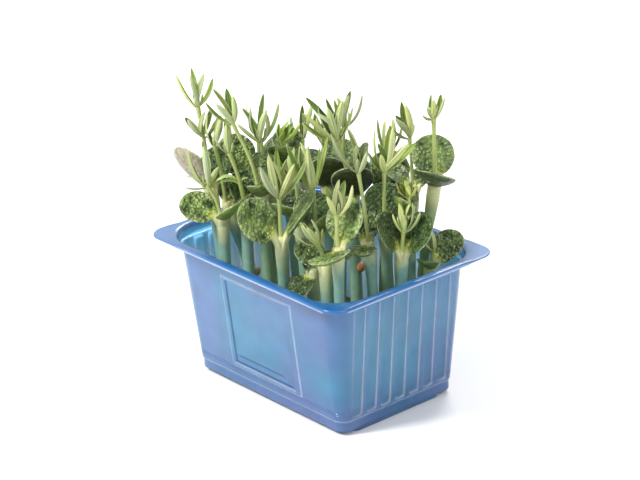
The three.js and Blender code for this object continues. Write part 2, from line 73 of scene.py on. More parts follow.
STALK_FOOT = 3.1
STALK_NECK = 2.9
STALK_COLLAR = [3.4, 3.2, 2.5]  # radii of the stalk's top
STALK_RINGS = 44
STALK_SIDES = 28
ROOT_HALF_WIDTH = 3.5  # of a seed leaf's root
ROOT_SPAN = (-0.45, 0.22)  # where the root starts and ends, as shares of the seed leaf's length
ROOT_RINGS = 14
BLADE_RINGS = 46
BLADE_TOP = 44  # points round a seed leaf's upper side, and round its lower side
BLADE_UNDER = 16
SEED_LEAF_HALF_WIDTH = 10.4
SEED_LEAF_LENGTH = 23
SEED_LEAF_CUPPING = 2.2
SHOOT_FOOT = 1.25
SHOOT_TOP = 1.05
SHOOT_BUD = 1.5
SHOOT_RINGS = 30
SHOOT_SIDES = 12
LEAFLET_HALF_WIDTH = 1.75
LEAFLET_KEEL = 1.45
LEAFLET_ARCH = 0.8
LEAFLET_FAN = 9
LEAFLET_RINGS = 17
LEAFLET_POINTS = 17  # across each of its two sides

# A row for each sprout: where it stands, its collar, the fork of its shoot, its two seed leaves
# (heading, rise, roll, length) and its leaves (heading, rise, length, leaflets and, for one that
# isn't at the shoot's top, its share along the shoot).
SPROUT_ROWS = [
    ((-37, -29), (-40, -28, 85.5), (-44, -33, 102), [(218, 19, -25, 22), (-2, 34, 12, 25)],
     [(-120, 80, 24, 3), (-145, 5, 12, 2), (100, 40, 11, 2)]),
    ((8, -29), (9, -31, 89), (9, -31, 110), [(-122, 44, -55, 27.5), (50, 50, 0, 28)],
     [(-112, 68, 23, 3), (50, 65, 24, 3), (170, 78, 28, 2)]),
    ((49, 7), (51, 8, 82), (52, 9, 93), [(225, 60, -20, 23), (45, 50, 30, 24)],
     [(-100, 75, 12, 3), (130, 78, 15, 3), (50, 62, 14, 2)]),
    ((44, -26), (42, -24, 91), (41, -23, 108), [(-55, 4, 17, 23), (100, 60, 0, 26)],
     [(-80, 75, 15, 3), (75, 70, 20, 3)]),
    ((48, 24), (52, 26, 71), (54, 26, 79), [(80, 36, 10, 21), (-60, 25, 0, 12)],
     [(-130, 70, 11, 3)]),
    ((36, 30), (43, 38, 107), (43, 38, 140.5), [(-46, 30, -14, 23), (145, 60, 0, 24)],
     [(50, 78, 13.5, 4), (-90, 40, 8, 2)]),
    ((35, -25), (35, -26, 81), (38, -33, 95), [(-155, 35, -20, 18), (100, 5, 0, 16)],
     [(-110, 50, 15, 3), (-165, 55, 14, 3)]),
    ((22, -24), (21, -22, 73), (19, -20, 85), [(-90, -40, 0, 16), (-175, 60, 0, 14)],
     [(50, 75, 9, 3)]),
    ((40, 0), (39, -2, 86), (33, -2, 122), [(165, 50, 0, 18), (-60, 0, 0, 15)],
     [(-120, 68, 26, 2), (115, 72, 14, 3), (15, 70, 15, 2)]),
    ((38, 11), (36, 11, 91), (37, 11, 119), [(135, 50, 0, 22), (150, 15, 0, 14)],
     [(50, 86, 26, 3), (50, 45, 21, 2), (-80, 65, 16, 3)]),
    ((8, 16), (4, 19, 94), (2, 12, 126), [(-38, 57, 0, 24), (86, 58, 0, 20)],
     [(-120, 52, 28, 2), (-150, 74, 20, 3), (95, 70, 21, 3), (-105, 45, 21, 2)]),
    ((16, -11), (15, -14, 88), (14, -14, 111), [(145, 45, 0, 22), (10, 50, 0, 18)],
     [(-130, 70, 26, 2), (160, 80, 22, 3), (0, 80, 28, 2)]),
    ((29, 31), (28, 37, 101), (30, 34, 128), [(-150, 35, 0, 20), (90, 25, 0, 15)],
     [(-130, 82, 19, 2), (-110, 52, 16, 3)]),
    ((-49, -20), (-54, -23, 95), (-57, -26, 139), [(-128, 53, 42, 27.5), (100, 60, 0, 22)],
     [(50, 68, 20, 2), (-130, 75, 19, 3), (-130, 50, 15, 2, 0.63), (30, 70, 15, 3, 0.63)]),
    ((-21, -15), (-26, -14, 98), (-33, -24, 135), [(105, 62, 0, 20), (-35, 30, 0, 16)],
     [(-115, 55, 21, 3), (165, 85, 19, 2)]),
    ((-38, -8), (-46, -20, 88), (-48, -24, 120), [(112, 40, 0, 15.5), (80, 15, 0, 13)],
     [(50, 86, 17, 3), (95, 66, 16, 2)]),
    ((-30, -21), (-35, -17, 90), (-37, -24, 119), [(138, 66, 0, 18), (-175, 50, 0, 13)],
     [(-130, 72, 15, 2), (150, 78, 19, 2)]),
    ((-26, -3), (-35, -3, 97), (-33, -7, 121), [(4, 35, 0, 15), (178, 65, 0, 17)],
     [(50, 75, 24, 3), (-40, 80, 20, 2), (-115, 55, 20, 2)]),
    ((-29, 10), (-34, 8, 106), (-34, 7, 117), [(120, 50, 0, 18), (-50, 45, 0, 16)],
     [(70, 50, 13, 3), (-10, 70, 10, 3)]),
    ((44, 18), (43, 21, 96), (42, 21, 104), [(170, 60, 0, 15), (-90, 50, 0, 13)],
     [(-85, 55, 9, 3), (-150, 70, 10, 3), (80, 60, 7, 2)]),
    ((-12, 17), (-13, 18, 94), (-14, 17, 117), [(60, 60, 0, 20), (-42, 64, 0, 22)],
     [(20, 70, 20, 3), (-160, 75, 18, 2)]),
    ((-47, 7), (-52, 7, 98), (-55, 9, 114), [(-131, 34, -55, 25), (64, 52, 0, 19)],
     [(160, 66, 18, 2), (-60, 76, 16, 2)]),
    ((-43, 26), (-46, 31, 86), (-48, 32, 108), [(130, 30, 0, 20), (-45, 45, 0, 18)],
     [(110, 70, 19, 2), (-90, 76, 17, 2)]),
    ((-20, 29), (-20, 34, 97), (-19, 35, 121), [(150, 35, 0, 20), (40, 45, 0, 20)],
     [(60, 72, 20, 3), (-130, 70, 18, 2)]),
    ((11, 31), (11, 36, 91), (12, 36, 115), [(130, 62, 0, 24), (-30, 40, 0, 17)],
     [(0, 74, 19, 2), (150, 70, 18, 2)]),
    ((-5, -4), (-8, -5, 87), (-9, -6, 108), [(160, 30, 0, 20), (-75, 35, 0, 20)],
     [(80, 76, 19, 3), (-100, 70, 19, 3)]),
]
SPROUTS = [
    dict(zip(("stands", "collar", "fork", "seed_leaves", "leaves"), row)) for row in SPROUT_ROWS
]

# By a sprout's number, where the photograph shows it clearly.
# How lit the upper sides of its seed leaves are painted, lighter where they face the light and darker
# in shade, and the colour of their undersides.
LEAF_LIGHTING = {
    1: 1.3, 2: 1, 3: 0.15, 4: 1.1, 5: 0.4, 6: 0.9, 8: 0.1, 9: 0.6, 10: 0.2, 11: 0.1,
    12: 0.3, 14: 0.3, 16: 0.35, 19: 0.8, 22: 0.9, 24: 0.8,
}
UNDERSIDES = {
    1: (0.2, 0.3, 0.04), 3: (0.07, 0.11, 0.035), 6: (0.05, 0.075, 0.02),
    # sprout 11's near-black underside is painted shade, for a leaf hanging in shadow
    11: (0.04, 0.05, 0.012), 14: (0.3, 0.27, 0.18), 21: (0.045, 0.06, 0.015),
}
# Its stalk: tone from teal, painted for blue light from the tray, to olive, girth beside the solid's,
# and how far down the cream reaches.
STALK_TONES = {2: 0.35, 3: 0, 4: 0.1, 7: 0.3, 9: 0.05}
STALK_GIRTHS = {4: 0.84, 6: 0.8, 9: 0.88}
CREAM_REACH = {3: 11, 4: 15, 9: 12}
# What the colour of its shoot is multiplied by.
SHOOT_TINTS = {
    2: (0.86, 0.84, 0.86), 3: (1.1, 1.1, 1), 4: (1.1, 1.05, 1.1), 9: (0.86, 0.85, 0.9),
    19: (1.15, 1.3, 0.7), 20: (1.4, 1.35, 1),
}
# Small arching leaflets beside the solid's own: share along the shoot, heading, rise, length,
# bow and tint.
SMALL_LEAFLETS = {
    17: [
        (0.43, 236, 4, 13, 3.6, (0.95, 1.12, 0.7)),
        (0.36, 222, 10, 10.5, 2.6, (1.02, 1.15, 0.72)),
        (0.4, 60, 25, 5, 1, (0.95, 1.1, 0.7)),
    ],
}
# A seed coat that clings to its stalk: share along the stalk, heading, tone from beige to brown.
CLINGING_COATS = {11: (0.5, 22, 1), 16: (0.45, 5, 0.1), 19: (0.25, -70, 0.35)}
# Shed seed coats on the mat: x, y, heading.
SEED_COATS = [(-32, -33, 20), (-18, -31, 115), (24, -4, 60), (-3, -17, 200)]

# ---- numbers and curves


def unit(vector):
    return vector / np.linalg.norm(vector)


def lerp(a, b, share):
    return a + (b - a) * share


def mix(a, b, share):
    """Blend of two points or colours, for one share or an array of them."""
    return lerp(np.asarray(a, float), np.asarray(b, float), np.asarray(share, float)[..., None])


def smooth(low, high, value):
    t = np.clip((value - low) / (high - low), 0, 1)
    return t * t * (3 - 2 * t)


def chance(i, j):
    """The number from 0 to 1 that the solids use for a pair of numbers."""
    value = math.sin(i * 127.1 + j * 311.7) * 43758.5453
    return value - math.floor(value)


def noise(points, cell, seed=0):
    """Smooth noise from -1 to 1 at points, with lumps of the given size."""
    q = np.asarray(points, float) / cell + seed * 17.3
    low = np.floor(q)
    t = q - low
    t = t * t * (3 - 2 * t)
    total = 0
    for offset in itertools.product((0, 1), repeat=3):
        value = np.sin((low + offset) @ np.array([127.1, 311.7, 74.7])) * 43758.5453
        value -= np.floor(value)
        weight = 1
        for axis, d in enumerate(offset):
            weight = weight * (t[..., axis] if d else 1 - t[..., axis])
        total = total + weight * value
    return total * 2 - 1


def direction(heading, rise):
    h, r = math.radians(heading), math.radians(rise)
    return np.array([math.cos(r) * math.cos(h), math.cos(r) * math.sin(h), math.sin(r)])


def curve(points, count):
    """A centripetal Catmull-Rom curve through a few points, sampled at equal lengths."""
    p = [np.array(q, float) for q in points]
    p = [2 * p[0] - p[1], *p, 2 * p[-1] - p[-2]]
    line = []
    for a, b, c, d in zip(p, p[1:], p[2:], p[3:]):
        ab, bc, cd = (math.sqrt(np.linalg.norm(v)) for v in (b - a, c - b, d - c))
        start = ((b - a) / ab - (c - a) / (ab + bc) + (c - b) / bc) * bc
        end = ((c - b) / bc - (d - b) / (bc + cd) + (d - c) / cd) * bc
        t = np.linspace(0, 1, 24, endpoint=False)[:, None]
        rise = c - b
        square, cube = 3 * rise - 2 * start - end, -2 * rise + start + end
        line.append(b + start * t + square * t**2 + cube * t**3)
    line = np.concatenate([*line, [p[-2]]])
    run = np.concatenate([[0], np.cumsum(np.linalg.norm(np.diff(line, axis=0), axis=1))])
    even = np.linspace(0, run[-1], count)
    return np.stack([np.interp(even, run, line[:, axis]) for axis in range(3)], axis=1)


# ---- building meshes


class Skin:
    """The points, faces and colours of one piece, in millimetres."""

    def __init__(self):
        self.points, self.colours, self.faces, self.materials = [], [], [], []
        self.count = 0

    def loft(self, rings, colours, material=0):
        """Closed rings of points joined one to the next, each end closed by one face.

        material is one number, or one for each face between the rings.
        """
        rows, sides = rings.shape[:2]
        down, i = np.arange(rows - 1)[:, None] * sides, np.arange(sides)
        j = (i + 1) % sides
        grid = np.stack([down + i, down + j, down + sides + j, down + sides + i], axis=-1)
        ends = [list(range(sides)), list(range((rows - 1) * sides, rows * sides))]
        faces = grid.reshape(-1, 4).tolist() + ends
        numbers = np.broadcast_to(material, (rows - 1, sides)).reshape(-1)
        self.points.append(rings.reshape(-1, 3))
        self.colours.append(np.broadcast_to(colours, rings.shape).reshape(-1, 3))
        self.faces += [[i + self.count for i in face] for face in faces]
        self.materials += [*numbers, numbers[0], numbers[-1]]
        self.count += rows * sides


def tube(line, radii, sides):
    """Rings round a line, with one radius for each."""
    tangents = np.gradient(line, axis=0)
    tangents /= np.linalg.norm(tangents, axis=1)[:, None]
    normal = np.cross(tangents[0], [0.3, 1, 0.2])
    angles = 2 * np.pi * np.arange(sides) / sides
    rings = []
    for centre, tangent, radius in zip(line, tangents, radii):
        normal = unit(normal - tangent * (normal @ tangent))
        side = np.cross(tangent, normal)
        spokes = np.cos(angles)[:, None] * normal + np.sin(angles)[:, None] * side
        rings.append(centre + spokes * radius)
    return np.array(rings)


def add_object(name, data):
    made = bpy.data.objects.new(name, data)
    bpy.context.scene.collection.objects.link(made)
    return made


def piece(name, skin, materials, nodes):
    """Makes the object, in metres, and puts it in the frame in place of its CAD nodes."""
    mesh = bpy.data.meshes.new(name)
    points = np.concatenate(skin.points) * MM
    mesh.from_pydata(points.tolist(), [], skin.faces)
    for material in materials:
        mesh.materials.append(material)
    mesh.polygons.foreach_set("material_index", np.array(skin.materials, dtype=np.int32))
    mesh.polygons.foreach_set("use_smooth", np.ones(len(skin.faces), dtype=bool))
    colours = np.ones((len(points), 4), dtype=np.float32)
    colours[:, :3] = np.concatenate(skin.colours)
    tint = mesh.color_attributes.new(name="tint", type="FLOAT_COLOR", domain="POINT")
    tint.data.foreach_set("color", colours.reshape(-1))
    shape = bmesh.new()
    shape.from_mesh(mesh)
    bmesh.ops.recalc_face_normals(shape, faces=shape.faces)
    shape.to_mesh(mesh)
    shape.free()
    mesh.update()
    obj = add_object(name, mesh)
    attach(obj, "root")
    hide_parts(*nodes)


# ---- materials


THICK_FLESH = {"Subsurface_Weight": 0.12, "Subsurface_Scale": 0.002}
THIN_FLESH = {"Subsurface_Weight": 0.1, "Subsurface_Scale": 0.001}
# the share and colour of the painted glints on the seed leaves
GLINT_SHARE = 0.7
GLINT_COLOUR = (0.42, 0.5, 0.26, 1)


def set_sockets(node, sockets):
    for socket, value in sockets.items():
        node.inputs[socket.replace("_", " ")].default_value = value


def add_node(material, kind, **sockets):
    node = material.node_tree.nodes.new("ShaderNode" + kind)
    set_sockets(node, sockets)
    return node


def shader_socket(material, name):
    return material.node_tree.nodes["Principled BSDF"].inputs[name]


def new_material(name, roughness, tinted=True, **sockets):
    """A Principled material, coloured by the piece's tint when tinted."""
    material = bpy.data.materials.new(name)
    material.use_nodes = True
    tree = material.node_tree
    set_sockets(tree.nodes["Principled BSDF"], {"Roughness": roughness, **sockets})
    if tinted:
        tint = add_node(material, "VertexColor")
        tint.layer_name = "tint"
        tree.links.new(tint.outputs["Color"], shader_socket(material, "Base Color"))
    return material


def add_bump(material, height, strength, distance):
    link = material.node_tree.links.new
    bump = add_node(material, "Bump", Strength=strength, Distance=distance * MM)
    link(height, bump.inputs["Height"])
    link(bump.outputs["Normal"], shader_socket(material, "Normal"))


def add_texture(material, cell, kind="TexNoise", **sockets):
    """A texture in the piece's own space, with cells of the given size."""
    place = add_node(material, "TexCoord")
    texture = add_node(material, kind, Scale=1 / (cell * MM), **sockets)
    material.node_tree.links.new(place.outputs["Object"], texture.inputs["Vector"])
    return texture


def warp(material, texture, cell, reach):
    """Bends a texture's pattern with noise of one cell size, by up to the given reach."""
    link = material.node_tree.links.new
    bends = add_texture(material, cell, Detail=1)
    centred, scaled, moved = (add_node(material, "VectorMath") for _ in range(3))
    centred.operation, scaled.operation, moved.operation = "SUBTRACT", "SCALE", "ADD"
    centred.inputs[1].default_value = (0.5, 0.5, 0.5)
    scaled.inputs["Scale"].default_value = 2 * reach * MM
    place = texture.inputs["Vector"].links[0].from_socket
    link(bends.outputs["Color"], centred.inputs[0])
    link(centred.outputs["Vector"], scaled.inputs[0])
    link(scaled.outputs["Vector"], moved.inputs[0])
    link(place, moved.inputs[1])
    link(moved.outputs["Vector"], texture.inputs["Vector"])


def tint_by(material, factor, dark, light):
    """Multiplies the tint by a grey that goes from dark to light with a factor."""
    link = material.node_tree.links.new
    base = shader_socket(material, "Base Color")
    tint = base.links[0].from_socket
    grey = add_node(material, "MapRange", To_Min=dark, To_Max=light)
    scale = add_node(material, "VectorMath")
    scale.operation = "SCALE"
    link(factor, grey.inputs["Value"])
    link(tint, scale.inputs[0])
    link(grey.outputs["Result"], scale.inputs["Scale"])
    link(scale.outputs["Vector"], base)


def fleck_by(material, factor, low, high, colour):
    """Mixes painted glints of another colour into the base colour where a factor is high."""
    link = material.node_tree.links.new
    base = shader_socket(material, "Base Color")
    plain = base.links[0].from_socket
    share = add_node(material, "MapRange", From_Min=low, From_Max=high, To_Max=GLINT_SHARE)
    blend = add_node(material, "Mix")
    blend.data_type = "RGBA"
    link(factor, share.inputs["Value"])
    link(share.outputs["Result"], blend.inputs["Factor"])
    link(plain, blend.inputs["A"])
    blend.inputs["B"].default_value = colour
    link(blend.outputs["Result"], base)


def grained_material(name, roughness, cell, detail, greys, bump, **sockets):
    """A material whose tint and surface vary with one noise."""
    material = new_material(name, roughness, **sockets)
    grain = add_texture(material, cell, Detail=detail).outputs["Fac"]
    tint_by(material, grain, *greys)
    add_bump(material, grain, *bump)
    return material


def celled_material(name, roughness, cell, smoothness, bends, greys, **sockets):
    """A material whose tint varies with irregular cells, and the distance from their middles."""
    material = new_material(name, roughness, **sockets)
    cells = add_texture(material, cell, "TexVoronoi", Randomness=1)
    cells.feature = "SMOOTH_F1"
    cells.inputs["Smoothness"].default_value = smoothness
    warp(material, cells, *bends)
    tint_by(material, cells.outputs["Distance"], *greys)
    return material, cells.outputs["Distance"]


def make_plastic(name, clearness, contrast):
    plastic = new_material(
        name, 0.22, Transmission_Weight=clearness, IOR=1.5, Specular_IOR_Level=0.5,
        Coat_Weight=0.3, Coat_Roughness=0.1,
    )
    patches = add_texture(plastic, 9, Detail=3)
    tint_by(plastic, patches.outputs["Fac"], 1 - contrast, 1 + contrast)
    waves = add_texture(plastic, 18, Detail=0)
    add_bump(plastic, waves.outputs["Fac"], 0.3, 1)
    return plastic


def make_blade():
    """The upper side of a seed leaf: a dome for each cell, painted light in each cell's middle and
    painted shade in the creases between, and pale flecks painted as glints.
    """
    blade, distance = celled_material(
        "seed_leaf_top", 0.32, 1.8, 0.15, (2.2, 1.1), (1.7, 0.33),
        Specular_IOR_Level=0.45, Coat_Weight=0.1, Coat_Roughness=0.2,
    )
    # painted highlight: pale glints on the bumps
    flecks = add_texture(blade, 1.4, Detail=2)
    fleck_by(blade, flecks.outputs["Fac"], 0.6, 0.85, GLINT_COLOUR)
    dome = add_node(blade, "Math")
    dome.operation = "SUBTRACT"
    dome.inputs[0].default_value = 1
    blade.node_tree.links.new(distance, dome.inputs[1])
    add_bump(blade, dome.outputs["Value"], 1, 1.8)
    return blade


def make_back():
    """The veined underside of a seed leaf."""
    back, distance = celled_material(
        "seed_leaf_back", 0.38, 2.4, 0.2, (2.4, 2), (1.25, 0.6), **THIN_FLESH
    )
    add_bump(back, distance, 0.5, 0.8)
    return back


def make_materials():
    return {
        "plastic": make_plastic("blue_plastic", 0.6, 0.25),
        "plastic_inside": make_plastic("blue_plastic_inside", 0.3, 0.1),
        "flesh": grained_material("stalk_flesh", 0.42, 3, 4, (0.82, 1.16), (0.15, 0.4), **THICK_FLESH),
        "blade": make_blade(),
        "back": make_back(),
        "young": grained_material("young_leaf", 0.45, 0.9, 3, (0.85, 1.14), (0.25, 0.2), **THIN_FLESH),
        "mat": grained_material("growing_mat", 0.85, 1.6, 6, (0.5, 1.5), (0.8, 0.8)),
        "coat": grained_material("seed_coat", 0.6, 2.2, 4, (0.7, 1.25), (0.4, 0.3)),
    }


# ---- tray

LIP = [size - SHEET for size in FLANGE]  # the under side of the flange's edge
# The outer face from the foot pad to the lip's edge: half length, half width, corner, height
# and the radius that rounds the bend there.
PROFILE = [
    (20, 10, 2, 0, 0),
    (*FOOT, 0, 0.7),
    (*FOOT, 2, 0.5),
    (*SKIRT, 2, 0.7),
    (*SKIRT, STEP_Z - 0.5, 0.2),
    (*WALL_FOOT, STEP_Z, 0.3),
    (*WALL_TOP, LEDGE_Z - 0.4, 0.7),
    (MOUTH[0] - 0.3, MOUTH[1] - 0.3, MOUTH[2], LEDGE_Z, 0.7),
    (*MOUTH, RIM_Z - SHEET, 0.8),
    (*LIP, RIM_Z - SHEET, 0.35),
    (*LIP, RIM_Z - LIP_DROP + 0.6, 0.05),
    (*LIP, RIM_Z - LIP_DROP, 0),
]
WALL_STRAIGHT = (49.4, 30.7)  # half lengths of the straight parts of the tall walls

SHEET_CYAN = (0.042, 0.29, 0.51)
SHEET_VIOLET = (0.1, 0.225, 0.5)
SHEET_LOW = (0.075, 0.145, 0.42)
SHEET_LILAC = (0.13, 0.245, 0.47)
# near white: painted light on the sheet's inner face
SHEET_INSIDE_LIT = (0.9, 0.97, 1)
SHEET_BAND = (0.05, 0.5, 0.95)
SHEET_DEEP = (0.014, 0.145, 0.4)
# painted highlight colour for the relief's edges and the lip's edge, then painted shade colour for the
# panel's steps and groove
SHEET_HIGHLIGHT = (0.72, 0.82, 1)
SHEET_SHADE_LINE = (0.005, 0.12, 0.32)

PANEL_OUTER = (-25, 27, 12.7, 62.5)  # the framed panel: low and high x, low and high z
PANEL_INNER = (-21.5, 22, 16, 60.8)
PANEL_GROOVE = (-18.8, 14.6, 19.7)  # low and high x, z
PANEL_RELIEF = 0.5
GROOVE_DEPTH = 0.35
FLUTE_HALF = 3.05
FLUTE_DEPTH = 1.2
FLUTE_SPAN = (9, 68)
FLUTE_CORNER = 1.3
FLUTE_MIDDLES = [(i - (FLUTE_COUNT - 1) / 2) * FLUTE_PITCH for i in range(FLUTE_COUNT)]
CORNER_POINTS = 13  # between the ends of each of the tray's round corners


def places_between(low, high, step, edges):
    """Even places, with close ones round each edge of the relief."""
    even = np.linspace(low, high, int((high - low) / step) + 1)
    close = [edge + d for edge in edges for d in (-0.6, -0.3, 0, 0.3, 0.6)]
    kept = [p for p in even if all(abs(p - c) > 0.2 for c in close)]
    return np.array(sorted(kept + [c for c in close if low < c < high]))


def between(start, end):
    """The levels inside a straight stretch of the profile."""
    if start[3] < LEDGE_Z - 5 and end[3] > LEDGE_Z - 5:
        edges = [*PANEL_OUTER[2:], *PANEL_INNER[2:], PANEL_GROOVE[2], *FLUTE_SPAN, 10.3, 11.5]
        shares = (places_between(start[3], end[3], 1.8, edges) - start[3]) / (end[3] - start[3])
        return [mix(start, end, t) for t in shares if 0.001 < t < 0.999]
    steps = int(np.abs(end - start)[[0, 3]].max() / 1.5)
    return [mix(start, end, k / (steps + 1)) for k in range(1, steps + 1)]


def tray_levels():
    """The profile with its bends rounded and its long stretches cut into short steps."""
    corners = np.array(PROFILE, float)
    levels = [corners[0, :4]]
    for before, here, after in zip(corners, corners[1:], corners[2:]):
        back, ahead = before[:4] - here[:4], after[:4] - here[:4]
        back_size, ahead_size = np.abs(back[[0, 1, 3]]).max(), np.abs(ahead[[0, 1, 3]]).max()
        reach = min(here[4], 0.45 * back_size, 0.45 * ahead_size)
        middle = here[:4]
        first, last = middle + back * reach / back_size, middle + ahead * reach / ahead_size
        levels += between(levels[-1], first)
        for t in (0, 0.25, 0.5, 0.75, 1):
            levels.append(mix(mix(first, middle, t), mix(middle, last, t), t))
    levels += between(levels[-1], corners[-1, :4])
    return [*levels, corners[-1, :4]]


def tray_ring(level, places, is_flange):
    """One ring of the tray, from the +x wall round to the corner at (+x, -y)."""
    length, width, corner, z = level
    size = np.array([length, width])
    points = []
    for wall in range(4):
        run, face = (1, 0) if wall % 2 == 0 else (0, 1)
        sign = 1 if wall in (0, 3) else -1
        straight = size[run] - corner
        scale = straight / WALL_STRAIGHT[run]
        along = sign * places[run] * (scale if is_flange else min(1, scale))
        outward = 1 if wall < 2 else -1
        pair = [None, None]
        pair[run], pair[face] = along, np.full(len(along), outward * size[face])
        points.append(np.column_stack(pair))
        angles = np.linspace(0, np.pi / 2, CORNER_POINTS + 2)[1:-1] + wall * np.pi / 2
        spokes = np.column_stack([np.cos(angles), np.sin(angles)])
        points.append(np.sign(spokes) * (size - corner) + spokes * corner)
    points = np.concatenate(points)
    return np.column_stack([points, np.full(len(points), z)])


def with_tabs(ring):
    """Pulls the flange's edge out to its two tabs, where it is flat."""
    past = [smooth(TAB_START[i], TAB_START[i] + TAB_SLANT, np.abs(ring[:, i])) for i in (0, 1)]
    share = np.where(ring[:, 0] * ring[:, 1] > 0, past[0] * past[1], 0)
    grow = (np.array(TAB[:2]) - FLANGE[:2]) * share[:, None]
    moved = ring.copy()
    moved[:, :2] += np.sign(ring[:, :2]) * grow
    top = RIM_Z - SHEET
    moved[:, 2] = top - (top - moved[:, 2]) * lerp(1, 0.2, share)
    return moved


def flute_inset(across, z):
    """How far inside a flute's round-cornered outline a place is."""
    low, high = FLUTE_SPAN
    past = np.maximum(low + FLUTE_CORNER - z, z - high + FLUTE_CORNER)
    beside = np.abs(across) - FLUTE_HALF + FLUTE_CORNER
    outside = np.hypot(np.maximum(past, 0), np.maximum(beside, 0))
    return FLUTE_CORNER - outside - np.minimum(np.maximum(past, beside), 0)


def box_distance(x, z, box):
    """Distance from a rectangle's edge, negative outside it."""
    low_x, high_x, low_z, high_z = box
    return np.minimum(np.minimum(x - low_x, high_x - x), np.minimum(z - low_z, high_z - z))


def groove_distance(x, z):
    low_x, high_x, groove_z = PANEL_GROOVE
    return np.hypot(np.maximum(np.maximum(low_x - x, x - high_x), 0), z - groove_z)


def on_walls(points, slack):
    """Whether points lie on a tall end wall, and whether on a tall side wall."""
    x, y, z = np.moveaxis(np.abs(points), -1, 0)
    share = (z - STEP_Z) / (LEDGE_Z - STEP_Z)
    tall = (share > 0) & (share < 1)
    half_length, half_width = (lerp(WALL_FOOT[i], WALL_TOP[i], share) for i in (0, 1))
    return tall & (x > half_length - slack), tall & (y > half_width - slack)


def relief(points):
    """How far the sheet stands out of (or into) the plain wall at points on the outer face."""
    x, y, z = np.moveaxis(points, -1, 0)
    on_end, on_side = on_walls(points, 0.3)
    flutes = sum(smooth(-0.45, 0.45, flute_inset(y - middle, z)) for middle in FLUTE_MIDDLES)
    outer, inner = (smooth(-0.3, 0.3, box_distance(x, z, box)) for box in (PANEL_OUTER, PANEL_INNER))
    groove = smooth(0.75, 0.1, groove_distance(x, z))
    panel = PANEL_RELIEF * (outer - inner) - GROOVE_DEPTH * groove
    return np.where(on_end, -FLUTE_DEPTH * flutes, 0) + np.where(on_side, panel, 0)


def sheet_normals(rings):
    """Unit normals of a grid of rings, on the side that faces into the tray or up."""
    around = np.roll(rings, -1, axis=1) - np.roll(rings, 1, axis=1)
    along = np.gradient(rings, axis=0)
    normals = np.cross(along, around)
    return normals / np.linalg.norm(normals, axis=2)[..., None]


def line_on(distance, width):
    """1 on a drawn line and 0 away from it."""
    return smooth(width, 0.15 * width, np.abs(distance))


def sheet_colour(points):
    """The sheet's blue: violet or greenish patches, with painted highlights along the relief's edges
    and the lip's lower edge, and painted shade in the panel's steps and groove.
    """
    x, y, z = np.moveaxis(points, -1, 0)
    patches = 0.5 + 0.7 * noise(points, 22, 3)
    colour = mix(SHEET_CYAN, SHEET_VIOLET, np.clip(patches, 0, 1))
    colour = mix(colour, SHEET_LOW, smooth(26, 10, z) * 0.5)
    from_tab = np.hypot(np.abs(x) - TAB[0], np.abs(y) - TAB[1]) + np.where(x * y > 0, 0, 100)
    by_tab = smooth(55, 22, from_tab + 6 * noise(points, 9, 5))
    reach = np.maximum(np.abs(x), np.abs(y) + FLANGE[0] - FLANGE[1])
    on_edge = smooth(FLANGE[0] - 0.75, FLANGE[0] - 0.5, reach) * (z > 70)
    on_lip = on_edge * smooth(RIM_Z - SHEET - 0.2, RIM_Z - SHEET - 0.6, z)
    near_corner = smooth(30, 12, np.hypot(x - FLANGE[0], y + FLANGE[1]))
    colour = mix(colour, SHEET_DEEP, smooth(69, 71, z))
    colour = mix(colour, SHEET_LILAC, by_tab * (z > 70))
    colour = mix(colour, np.array(SHEET_LILAC) * 1.4, on_lip * (0.9 - 0.7 * near_corner))
    on_end, on_side = on_walls(points, 2)
    # painted highlights: pale lines along the foot step, the flutes' outlines and the panel's frame,
    # where the relief's edges catch the light
    pale = line_on(z - STEP_Z, 0.7) * 0.6
    greenish = 0
    for middle in FLUTE_MIDDLES:
        inset = flute_inset(y - middle, z)
        pale = np.maximum(pale, line_on(inset, 0.42) * on_end)
        greenish = np.maximum(greenish, smooth(0.3, 1, inset) * on_end)
    inner, outer = box_distance(x, z, PANEL_INNER), box_distance(x, z, PANEL_OUTER)
    pale = np.maximum(pale, line_on(outer, 0.6) * on_side)
    pale = np.maximum(pale, line_on(inner + 1.1, 0.6) * on_side * 0.8)
    # painted shade: dark lines in the shaded steps of the panel's inner frame and in its groove
    dark = line_on(inner + 0.2, 0.9) * on_side
    dark = np.maximum(dark, line_on(groove_distance(x, z), 0.8) * on_side)
    colour = mix(colour, SHEET_CYAN, greenish * 0.5)
    colour = mix(colour, SHEET_SHADE_LINE, dark * 0.85)
    # painted highlight: a pale line along the lip's lower edge
    edge = on_edge * smooth(0.6, 0.5, z - RIM_Z + LIP_DROP)
    return mix(colour, SHEET_HIGHLIGHT, np.maximum(pale * 0.7, edge * 0.8))


